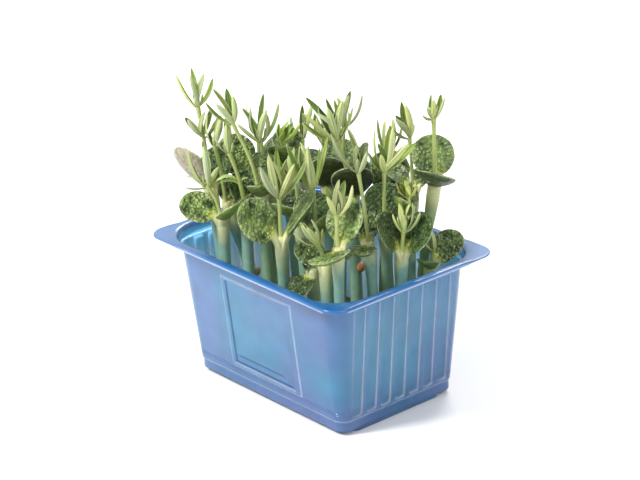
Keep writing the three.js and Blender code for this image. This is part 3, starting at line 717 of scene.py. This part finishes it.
def make_tray(materials):
    flute_edges = [m + side * FLUTE_HALF for m in FLUTE_MIDDLES for side in (-1, 1)]
    panel_edges = [*PANEL_OUTER[:2], *PANEL_INNER[:2]]
    places = (
        places_between(-WALL_STRAIGHT[0], WALL_STRAIGHT[0], 2.5, panel_edges),
        places_between(-WALL_STRAIGHT[1], WALL_STRAIGHT[1], 2.5, flute_edges),
    )
    plain, pushed = [], []
    for level in tray_levels():
        ring = tray_ring(level, places, level[3] > RIM_Z - 4)
        push = np.zeros_like(ring)
        if level[0] > (MOUTH[0] + FLANGE[0]) / 2:
            ring = with_tabs(ring)
        elif STEP_Z < level[3] < LEDGE_Z:
            on_end = np.abs(ring[:, 0]) > level[0] - 0.3
            amount = relief(ring)
            push[:, 0] = np.where(on_end, np.sign(ring[:, 0]) * amount, 0)
            push[:, 1] = np.where(on_end, 0, np.sign(ring[:, 1]) * amount)
        plain.append(ring)
        pushed.append(push)
    plain, pushed = np.array(plain), np.array(pushed)
    outer = plain + pushed
    inner = outer + sheet_normals(plain) * SHEET
    skin = Skin()
    colours = sheet_colour(outer)
    height = outer[..., 2]
    # painted light: below the rim the inner face is painted near white, for the light shining through
    # the sheet into the tray
    inside = mix(colours, SHEET_INSIDE_LIT, 0.92 * smooth(70.5, 69.5, height))
    in_band = smooth(LEDGE_Z - 22, LEDGE_Z + 1, height) * (height < 72)
    inside = mix(inside, SHEET_BAND, 0.8 * in_band)
    rings = np.concatenate([outer, inner[::-1]])
    is_inside = np.arange(len(rings) - 1)[:, None] >= len(outer)
    skin.loft(rings, np.concatenate([colours, inside[::-1]]), is_inside.astype(int))
    sides = [materials["plastic"], materials["plastic_inside"]]
    piece("tray_sheet", skin, sides, ["tray"])


# ---- growing mat

MAT_SIDES = 190
MAT_TOP_RINGS = 58
# height and inset of each ring below the top
MAT_SIDE_RINGS = ((23, 0.1), (17, 0.8), (12, 1.5), (8, 2), (4.5, 2.5), (2.9, 3), (2.9, 30))
MAT_DARK = (0.11, 0.07, 0.035)
MAT_BROWN = (0.3, 0.2, 0.1)
MAT_PALE = (0.42, 0.34, 0.2)
FIBRE_COUNT = 240
FIBRE_LIMIT = np.array([52.4, 36.6, 0])
FIBRE_BROWN = (0.2, 0.12, 0.05)
FIBRE_PALE = (0.62, 0.52, 0.34)


def mat_ring(half_length, half_width, z):
    """A ring with the outline of a well rounded rectangle."""
    angles = np.linspace(0, 2 * np.pi, MAT_SIDES, endpoint=False) + 0.01
    spokes = np.column_stack([np.cos(angles), np.sin(angles)])
    reach = 1 / (np.abs(spokes) ** 8).sum(axis=1) ** (1 / 8)
    points = spokes * reach[:, None] * (half_length, half_width)
    return np.column_stack([points, np.full(MAT_SIDES, float(z))])


def mat_height(points):
    """Lumpy top of the mat at points, whose own height is ignored."""
    flat = points * (1, 1, 0)
    lumps = 0.55 * noise(flat, 7, 1) + 0.35 * noise(flat, 2.6, 2) + 0.2 * noise(flat, 1.2, 3)
    return MAT_TOP - 0.7 + lumps


def make_mat(materials, random):
    skin = Skin()
    rings = []
    for share in np.linspace(0.02, 1, MAT_TOP_RINGS):
        ring = mat_ring(MAT_HALF[0] * share, MAT_HALF[1] * share, 0)
        ring[:, 2] = mat_height(ring)
        rings.append(ring)
    for z, inset in MAT_SIDE_RINGS:
        rings.append(mat_ring(MAT_HALF[0] - inset, MAT_HALF[1] - inset, z))
    rings = np.array(rings)
    sides = rings[-len(MAT_SIDE_RINGS) : -1]
    sides[..., :2] *= 1 + 0.002 * noise(sides, 3, 4)[..., None]
    patches = smooth(0.1, 0.6, noise(rings, 3.2, 6))
    colours = mix(MAT_DARK, MAT_BROWN, 0.5 + 0.5 * noise(rings, 5, 5))
    colours = mix(colours, MAT_PALE, patches * 0.6)
    skin.loft(rings, colours)
    piece("mat_body", skin, [materials["mat"]], ["growing_mat"])

    fibres = Skin()
    for _ in range(FIBRE_COUNT):
        x, y = random.uniform(-0.96, 0.96, 2) * MAT_HALF
        turn = random.uniform(0, 2 * np.pi)
        bend = random.normal(0, 0.5)
        reach = random.uniform(3, 9)
        t = np.linspace(-0.5, 0.5, 7)
        heading, run = turn + bend * t * 2, reach * t
        line = np.column_stack([x + run * np.cos(heading), y + run * np.sin(heading), 0 * t])
        line = np.clip(line, -FIBRE_LIMIT, FIBRE_LIMIT)
        line[:, 2] = mat_height(line) + 0.15 + random.uniform(0, 0.5)
        radii = random.uniform(0.12, 0.3) * np.array([0.4, 0.9, 1, 1, 1, 0.9, 0.3])
        tone = mix(FIBRE_BROWN, FIBRE_PALE, random.uniform())
        fibres.loft(tube(line, radii, 5), tone)
    piece("mat_fibres", fibres, [materials["mat"]], ["growing_mat"])


# ---- seed coats

COAT_BEIGE = (0.55, 0.44, 0.27)
COAT_BROWN = (0.45, 0.2, 0.06)
COAT_HALF = (4.4, 3.5)
COAT_DEPTH = 3.4
COAT_SIDES = 36
COAT_RINGS = 9  # on its outer side, and on its inner side


def coat_rings(seed):
    """An open seed coat that lies on z = 0, its outer side first."""
    angles = np.linspace(0, 2 * np.pi, COAT_SIDES, endpoint=False)
    oval = np.column_stack([COAT_HALF[0] * np.cos(angles), COAT_HALF[1] * np.sin(angles)])
    rings = []
    for step, out, sink in ((1, 1, 0), (-1, 0.88, 0.4)):
        for t in np.linspace(0.05, 1, COAT_RINGS)[::step]:
            spread = np.sin(t * np.pi / 2) ** 0.8 * out
            z = COAT_DEPTH * (1 - math.cos(t * np.pi / 2)) * (1 - sink * 0.1) + sink * (1 - t) * 1.2
            rings.append(np.column_stack([spread * oval, np.full(COAT_SIDES, z)]))
    rings = np.array(rings)
    return rings + 0.22 * noise(rings, 2.2, seed)[..., None]


def placed(rings, middle, axes):
    """Rings moved from the origin to a middle, and turned to the three axes."""
    return middle + rings @ np.array(axes)


def make_seed_coats(materials):
    for number, (x, y, heading) in enumerate(SEED_COATS, 1):
        skin = Skin()
        axes = (direction(heading, 0), direction(heading + 90, 0), (0, 0, 1))
        rings = placed(coat_rings(number), (x, y, MAT_TOP + 0.3), axes)
        skin.loft(rings, mix(COAT_BEIGE, COAT_BROWN, 0.5 + 0.5 * noise(rings, 4, 7)))
        name = f"seed_coat_{number}"
        piece(f"shed_{name}", skin, [materials["coat"]], [name])


# ---- sprouts

CREAM = (0.62, 0.61, 0.3)
# painted light: blue-green standing for blue light from the tray on the translucent stalks
TEAL_TRAY_LIGHT = (0.27, 0.45, 0.37)
OLIVE = (0.22, 0.31, 0.1)
STALK_DEEP = (0.14, 0.27, 0.18)
LEAF_DARK = (0.026, 0.062, 0.012)
LEAF_PALE = (0.3, 0.42, 0.115)
LEAF_ROOT = (0.38, 0.45, 0.06)
LEAF_RIM = (0.34, 0.42, 0.22)
LEAF_FROST_AND_SHEEN = (0.42, 0.48, 0.24)
UNDERSIDE = (0.17, 0.24, 0.05)
UNDERSIDE_DARK = (0.07, 0.11, 0.02)
YOUNG_STEM = (0.38, 0.45, 0.15)
YOUNG_LEAF = (0.275, 0.35, 0.1)
YOUNG_INSIDE = (0.15, 0.26, 0.04)
YOUNG_RIM = (0.52, 0.57, 0.35)


def stalk_line(stands, collar):
    x, y = stands
    half_up = (*mix((x, y), collar[:2], 0.4), MAT_TOP + (collar[2] - MAT_TOP) * 0.5)
    return curve([(x, y, MAT_TOP - ROOT_DEPTH), (x, y, MAT_TOP + 2), half_up, collar], STALK_RINGS)


def shoot_line(collar, fork):
    part_up = (*mix(collar[:2], fork[:2], 0.35), collar[2] + (fork[2] - collar[2]) * 0.45)
    return curve([(*collar[:2], collar[2] - 2), part_up, fork], SHOOT_RINGS)


def add_stalk(skin, line, sprout, tone):
    """The thick stalk, whose top lies between the roots of its two seed leaves."""
    foot, neck = STALK_FOOT * sprout["girth"], STALK_NECK * sprout["girth"]
    radii = [foot, foot, neck, neck, *STALK_COLLAR]
    share = np.linspace(0, 1, STALK_RINGS)
    rings = tube(line, np.interp(share, [0, 0.12, 0.5, 0.72, 0.9, 0.96, 1], radii), STALK_SIDES)
    ribs = 0.04 * noise(rings * (1, 1, 0.12), 1.3, 2) + 0.04 * noise(rings * (1, 1, 0.3), 4, 3)
    rings = line[:, None] + (rings - line[:, None]) * (1 + ribs)[..., None]
    cap = [line[-1] + (rings[-1] - line[-1]) * s + (0, 0, r) for s, r in ((0.7, 0.5), (0.2, 0.8))]
    rings = np.concatenate([rings, cap])
    skin.loft(rings, stalk_colour(rings, sprout, tone))


def stalk_colour(points, sprout, tone):
    """Cream at the collar; below it a blend from blue-green, painted for blue light from the tray, to
    olive.
    """
    height = points[..., 2] + 3 * noise(points, 5, 4) - sprout["collar"][2]
    cream = smooth(-sprout["cream"], -4, height)
    body = mix(mix(TEAL_TRAY_LIGHT, OLIVE, tone), STALK_DEEP, smooth(62, 30, height) * 0.3)
    return mix(body, CREAM, cream * (0.95 - 0.3 * tone))


def seed_leaf_width(share):
    """Half width of a seed leaf's blade along its length, the widest being 1."""
    reach = np.where(share < 0.6, 0.45, 0.4)
    return np.sqrt(np.maximum(1 - ((share - 0.6) / reach) ** 2, 0))


def seed_leaf_line(stalk, sprout, along, outward, length):
    """The middle line of a seed leaf, and each point's share of its length.

    It bends out of the stalk as the leaf's root, then runs straight to the tip.
    """
    start = np.array(sprout["collar"], float) - (0, 0, 1.6)
    bend = np.linspace(0, 1, ROOT_RINGS)[:, None]
    low = start - unit(stalk[-1] - stalk[-4]) * 9 + outward * 0.6
    root_end = ROOT_SPAN[1]
    turned = start + along * root_end * length
    root = low * (1 - bend) ** 2 + start * 2 * bend * (1 - bend) + turned * bend**2
    blade = root_end + (1 - root_end) * np.sin(np.linspace(0, np.pi / 2, BLADE_RINGS))[1:]
    line = np.concatenate([root, start + blade[:, None] * length * along])
    return line, np.concatenate([np.linspace(*ROOT_SPAN, ROOT_RINGS), blade])


def seed_leaf_colour(rings, share, side, out, lumps, is_top, sprout, seed):
    """Dark green above, lighter on lit leaves and on raised lumps as painted light, with a frosted
    paling at the edge that is partly painted sheen; paler below, cream at the root.
    """
    # painted light and shade: pale is how lit this sprout's seed leaves are painted
    pale = sprout["tone"]
    # painted light: raised lumps are painted lighter
    light = np.clip(0.4 + 0.45 * noise(rings, 4, seed + 2) + 0.35 * lumps, 0, 1)
    top = mix(LEAF_DARK, LEAF_PALE, light * pale)
    # partly the leaf's silvery surface and partly painted sheen: the paling toward the edge grows with
    # how lit the leaf is painted
    frost_and_sheen = smooth(0.45, 1, np.abs(out)) * (0.5 + 0.5 * noise(rings, 0.9, seed + 3))
    top = mix(top, LEAF_FROST_AND_SHEEN, frost_and_sheen * 0.6 * pale)
    near_root = smooth(0.44, 0.24, share + np.abs(out) * 0.3)
    top = mix(top, LEAF_ROOT, near_root * 0.85)
    base = sprout["under"]
    if base is None:
        base = mix(UNDERSIDE, UNDERSIDE_DARK, chance(seed, 9))
    under = np.array(base) * (1 + 0.25 * noise(rings, 4, seed))[..., None]
    colours = np.where(is_top[None, :, None], top, np.clip(under, 0, 1))
    rim = smooth(0.955, 0.99, np.abs(side)) * smooth(0.2, 0.5, share)
    colours = mix(colours, LEAF_RIM, rim * 0.8)
    tone = chance(round(sprout["collar"][0]), 1) * 0.4
    flesh = mix(stalk_colour(rings, sprout, tone), LEAF_ROOT, 0.35 * smooth(0, 0.25, share))
    return mix(flesh, colours, smooth(0.1, 0.3, share))


def add_seed_leaf(skin, stalk, sprout, heading, rise, roll, length, seed):
    """A seed leaf, whose root runs down inside the stalk and bends out of it."""
    along, outward = direction(heading, rise), direction(heading, 0)
    level = direction(heading + 90, 0)
    widest = SEED_LEAF_HALF_WIDTH * min(1, length / SEED_LEAF_LENGTH)
    middle, share = seed_leaf_line(stalk, sprout, along, outward, length)
    share = share[:, None]
    tangent = np.gradient(middle, axis=0)
    tangent /= np.linalg.norm(tangent, axis=1)[:, None]
    turn = math.radians(roll) * smooth(-0.1, 0.35, share)
    across = level * np.cos(turn) + np.cross(tangent, level) * np.sin(turn)
    up = np.cross(tangent, across)

    # the section: blunt at the rim, rounded below and channelled above at the root
    upper = np.linspace(0, np.pi, BLADE_TOP + 1)[:-1]
    lower = np.linspace(np.pi, 2 * np.pi, BLADE_UNDER + 1)[:-1]
    angles = np.concatenate([upper, lower])
    side, is_top = np.cos(angles), angles < np.pi
    root_width = lerp(0.82, 1, smooth(-0.45, 0.05, share)) * smooth(0.75, 0.2, share) * ROOT_HALF_WIDTH
    lobes = 1 + 0.03 * noise(np.stack([share * 9, share * 0 + seed, share * 0], -1), 1, 5)
    half = ((widest * seed_leaf_width(share)) ** 3 + root_width**3) ** (1 / 3) * lobes
    out = side * half / widest
    edge = np.maximum(1 - np.abs(side) ** 2.4, 0) ** 0.6
    tip = np.maximum(1 - np.clip((share - 0.6) / 0.4, 0, 1) ** 6, 0) ** 0.5
    above = 1.35 * tip * lerp(1, 0.85, smooth(0.1, -0.2, share))
    below = 1.35 * tip + 1.1 * smooth(0.45, 0, share)
    cupped = out**2 + np.maximum(0, share - 0.56) ** 2 * 4
    lift = np.where(is_top, above, -below) * edge + cupped * SEED_LEAF_CUPPING * smooth(0, 0.3, share)
    rings = middle[:, None] + (side * half)[..., None] * across[:, None] + lift[..., None] * up[:, None]

    # lumps, a groove along the upper side, and a wavy edge
    on_blade = smooth(0.2, 0.42, share)
    lumps = 0.4 * noise(rings, 2.6, seed) + 0.3 * noise(rings, 1.3, seed + 1)
    groove = 0.4 * np.exp(-((side * half / 0.9) ** 2)) * smooth(0.9, 0.5, share)
    rough = np.where(is_top, lumps - groove, 0.3 * lumps) * edge * on_blade
    wave = 0.5 * noise(rings, 7, seed + 8) * on_blade * np.abs(out)
    rings = rings + (rough + wave)[..., None] * up[:, None]
    colours = seed_leaf_colour(rings, share, side, out, lumps, is_top, sprout, seed)
    skin.loft(rings, colours, np.where(share[:-1] > 0.2, np.where(is_top, 1, 2), 0))


def leaflet_spread(share):
    """Half width of a leaflet along its length, the widest being 1."""
    places = [0, 0.12, 0.3, 0.5, 0.7, 0.84, 0.94, 1]
    return np.interp(share, places, [0.3, 0.55, 0.86, 1, 0.95, 0.72, 0.4, 0.05])


def add_leaflet(skin, start, along, outward, length, seed, bow=None):
    """A narrow leaflet, folded along its midrib, with its upper side inward."""
    across = unit(np.cross(outward, along))
    size = min(1, 0.4 + length / 30)
    share = 1 - (1 - np.linspace(0, 1, LEAFLET_RINGS)[:, None]) ** 1.25
    spread = leaflet_spread(share)
    t = np.linspace(-1, 1, LEAFLET_POINTS)
    side = np.concatenate([t, t[-2:0:-1]])
    wide = np.abs(side)
    is_outer = np.arange(len(side)) >= len(t) - 1
    fold = LEAFLET_KEEL * lerp(0.6, 1.3, chance(seed, 8))
    keel = fold * size * np.sqrt(spread) * (1 - wide**1.5)
    thick = 0.55 * size * np.sqrt(spread) * (1 - 0.8 * side**2)
    depth = keel - np.where(is_outer & (wide <= 0.99), 0, 1) * thick
    arch = LEAFLET_ARCH * length / 18 * lerp(0.6, 2.4, chance(seed, 2))
    bend = (arch if bow is None else bow) * np.sin(np.pi * share**0.9)
    hook = 0.06 * length * (chance(seed, 12) - 0.5) * share**3
    sway = 0.06 * length * np.sin(np.pi * share * 1.2) * (chance(seed, 4) - 0.5)
    half = LEAFLET_HALF_WIDTH * lerp(0.9, 1.15, chance(seed, 5)) * size * spread
    rings = (
        np.array(start)
        + (share * length)[..., None] * along
        + (side * half + sway)[..., None] * across
        + (depth + bend + hook)[..., None] * outward
    )
    inside = mix(YOUNG_INSIDE, YOUNG_LEAF, 0.45 * chance(seed, 7) + 0.3 * smooth(0.5, 0, share))
    lengthwise = np.stack(np.broadcast_arrays(side * 4.5, share * 1.6, 0.0), -1)
    streaks = noise(lengthwise, 1, seed) * smooth(0, 0.2, share)
    outer_tone = 0.2 + 0.35 * chance(seed, 10) + 0.45 * streaks
    back = mix(YOUNG_LEAF, YOUNG_RIM, np.clip(outer_tone, 0, 1))
    colours = np.where(is_outer[None, :, None], back, inside * (1 + 0.3 * streaks)[..., None])
    midrib = np.exp(-((side / 0.1) ** 2)) * smooth(1, 0.6, share)
    furrow = np.exp(-(((wide - 0.28) / 0.12) ** 2)) * smooth(1, 0.7, share)
    colours = colours * (1 - 0.35 * furrow)[..., None]
    lines = 0.7 * smooth(0.8, 1, wide) + 0.45 * midrib
    colours = mix(colours, YOUNG_RIM, np.clip(lines, 0, 1))
    colours = mix(colours, YOUNG_STEM, smooth(0.3, 0, share) * 0.8)
    warm = mix((0.95, 1, 1.05), (1.06, 1.03, 0.78), chance(seed, 13))
    skin.loft(rings, np.clip(colours * lerp(0.78, 1.25, chance(seed, 6)) * warm, 0, 1))


def add_leaf(skin, start, heading, rise, length, count, seed):
    """A fan of leaflets round one direction."""
    along, across = direction(heading, rise), direction(heading + 90, 0)
    up = np.cross(along, across)
    fan = math.radians(LEAFLET_FAN * (1 + (count - 2) * 0.25))
    for i in range(count):
        angle = 2 * np.pi * (i / count + chance(heading, rise))
        outward = across * math.cos(angle) + up * math.sin(angle)
        line = along * math.cos(fan) + outward * math.sin(fan)
        lean = unit(outward - along * math.tan(fan))
        root = start + outward * 0.8 - along * 0.3
        share = 1 - 0.22 * chance(i, length + heading)
        add_leaflet(skin, root, line, lean, length * share, seed + i)


def add_shoot(skin, line, sprout, seed):
    share = np.linspace(0, 1, SHOOT_RINGS)
    slim = lerp(0.74, 0.94, chance(seed, 14))
    full = np.array([SHOOT_FOOT, SHOOT_FOOT, SHOOT_TOP, 1.15, SHOOT_BUD, 0.5])
    rings = tube(line, np.interp(share, [0, 0.3, 0.65, 0.85, 0.95, 1], full * slim), SHOOT_SIDES)
    tone = 0.15 + 0.35 * chance(seed, 15) + 0.2 * noise(rings, 4, seed)
    pale = 0.5 * smooth(0.35, 0, share)[:, None]
    skin.loft(rings, mix(mix(YOUNG_STEM, YOUNG_LEAF, tone), CREAM, pale))
    for number, (heading, rise, length, count, *place) in enumerate(sprout["leaves"]):
        start = line[round((place[0] if place else 0.97) * (SHOOT_RINGS - 1))]
        add_leaf(skin, start, heading, rise, length, count, seed * 31 + number * 7)
    # the youngest leaflets, still folded over the bud
    for number in range(3):
        heading = 360 * (number / 3 + chance(seed, 11))
        root = line[-2] + direction(heading, -18) * 0.5
        along, outward = direction(heading, 74), direction(heading, -16)
        add_leaflet(skin, root, along, outward, 6 + 2 * chance(seed, number), seed * 5 + number)


def add_clinging_coat(skin, line, share, heading, tone):
    """A seed coat with its hollow side against a stalk."""
    outward = direction(heading, 8)
    axes = (direction(heading + 90, 0), direction(heading, 98), -outward)
    middle = line[round(share * (STALK_RINGS - 1))] + outward * (STALK_NECK + 2.3)
    rings = placed(0.78 * coat_rings(heading), middle, axes)
    patches = np.clip(tone + 0.3 * noise(rings, 2.5, 7), 0, 1)
    skin.loft(rings, mix(COAT_BEIGE, COAT_BROWN, patches), 3)


def make_sprout(number, sprout, materials):
    """The two pieces of a sprout: its stalk with the seed leaves, and its shoot."""
    name = f"{number:02d}"
    sprout["cream"] = CREAM_REACH.get(number, 19)
    sprout["girth"] = STALK_GIRTHS.get(number, 1)
    # painted light and shade: how lit the seed leaves are painted
    sprout["tone"] = LEAF_LIGHTING.get(number, 0.2 + 0.6 * chance(number, 3))
    sprout["under"] = UNDERSIDES.get(number)
    seedling = Skin()
    stalk = stalk_line(sprout["stands"], sprout["collar"])
    add_stalk(seedling, stalk, sprout, STALK_TONES.get(number, chance(number, 1) ** 2))
    for i, blade in enumerate(sprout["seed_leaves"]):
        add_seed_leaf(seedling, stalk, sprout, *blade, seed=number * 3 + i)
    if number in CLINGING_COATS:
        add_clinging_coat(seedling, stalk, *CLINGING_COATS[number])
    skins = [materials[kind] for kind in ("flesh", "blade", "back", "coat")]
    piece(f"sprout_{name}", seedling, skins, [f"seedling_{name}"])

    shoot = Skin()
    line = shoot_line(sprout["collar"], sprout["fork"])
    add_shoot(shoot, line, sprout, number)
    tint = SHOOT_TINTS.get(number, (1, 1, 1))
    shoot.colours = [np.clip(colours * tint, 0, 1) for colours in shoot.colours]
    for share, heading, rise, length, bow, tint in SMALL_LEAFLETS.get(number, []):
        start = line[round(share * (SHOOT_RINGS - 1))]
        along, up = direction(heading, rise), direction(heading, rise + 90)
        add_leaflet(shoot, start, along, up, length, number * 3 + heading, bow)
        shoot.colours[-1] = np.clip(shoot.colours[-1] * tint, 0, 1)
    piece(f"young_shoot_{name}", shoot, [materials["young"]], [f"shoot_{name}"])


# ---- stage, light and camera

WORLD_STRENGTH = 0.68
# In metres and watts: name, place, size and power.
LIGHTS = [
    ("key", (-0.25, -0.9, 1.0), 0.35, 19),
    ("fill", (1.1, -0.1, 0.8), 0.8, 5),
    ("back", (-0.5, 0.8, 0.9), 0.6, 9),
]
LIGHT_AIM = (0, 0, 0.08)
FLOOR_HALF = 4
CAMERA_AT = (0.88299, -0.73538, 0.55885)
CAMERA_AZIMUTH = 50.19
CAMERA_ELEVATION = 22.82
CAMERA_ROLL = -2.46
CAMERA_LENS = 144.1


def make_camera():
    data = bpy.data.cameras.new("camera")
    data.sensor_width = 36
    data.lens = CAMERA_LENS
    data.clip_end = 20
    camera = add_object("camera", data)
    azimuth, elevation, roll = map(math.radians, (CAMERA_AZIMUTH, CAMERA_ELEVATION, CAMERA_ROLL))
    away = math.cos(elevation)
    back = Vector((math.sin(azimuth) * away, -math.cos(azimuth) * away, math.sin(elevation)))
    level = Vector((0, 0, 1)).cross(back).normalized()
    upright = back.cross(level)
    right = level * math.cos(roll) + upright * math.sin(roll)
    up = upright * math.cos(roll) - level * math.sin(roll)
    turned = Matrix((right, up, back)).transposed().to_4x4()
    camera.matrix_world = Matrix.Translation(CAMERA_AT) @ turned
    bpy.context.scene.camera = camera


def make_light(name, place, size, power):
    data = bpy.data.lights.new(name, "AREA")
    data.shape = "DISK"
    data.size = size
    data.energy = power
    light = add_object(name, data)
    light.location = place
    aim = Vector(LIGHT_AIM) - light.location
    light.rotation_euler = aim.to_track_quat("-Z", "Y").to_euler()


def make_stage():
    mesh = bpy.data.meshes.new("floor")
    signs = ((-1, -1), (1, -1), (1, 1), (-1, 1))
    corners = [(x * FLOOR_HALF, y * FLOOR_HALF, 0) for x, y in signs]
    mesh.from_pydata(corners, [], [(0, 1, 2, 3)])
    floor = add_object("floor", mesh)
    mesh.materials.append(new_material("floor", 0.7, tinted=False, Base_Color=(0.9, 0.9, 0.9, 1)))
    world = bpy.data.worlds.new("studio")
    world.use_nodes = True
    sky = {"Color": (1, 1, 1, 1), "Strength": WORLD_STRENGTH}
    set_sockets(world.node_tree.nodes["Background"], sky)
    bpy.context.scene.world = world
    bpy.context.scene.view_settings.view_transform = "Standard"
    for light in LIGHTS:
        make_light(*light)


materials = make_materials()
make_tray(materials)
make_mat(materials, np.random.default_rng(7))
make_seed_coats(materials)
for number, sprout in enumerate(SPROUTS, 1):
    make_sprout(number, sprout, materials)
make_stage()
make_camera()

bpy.context.view_layer.update()
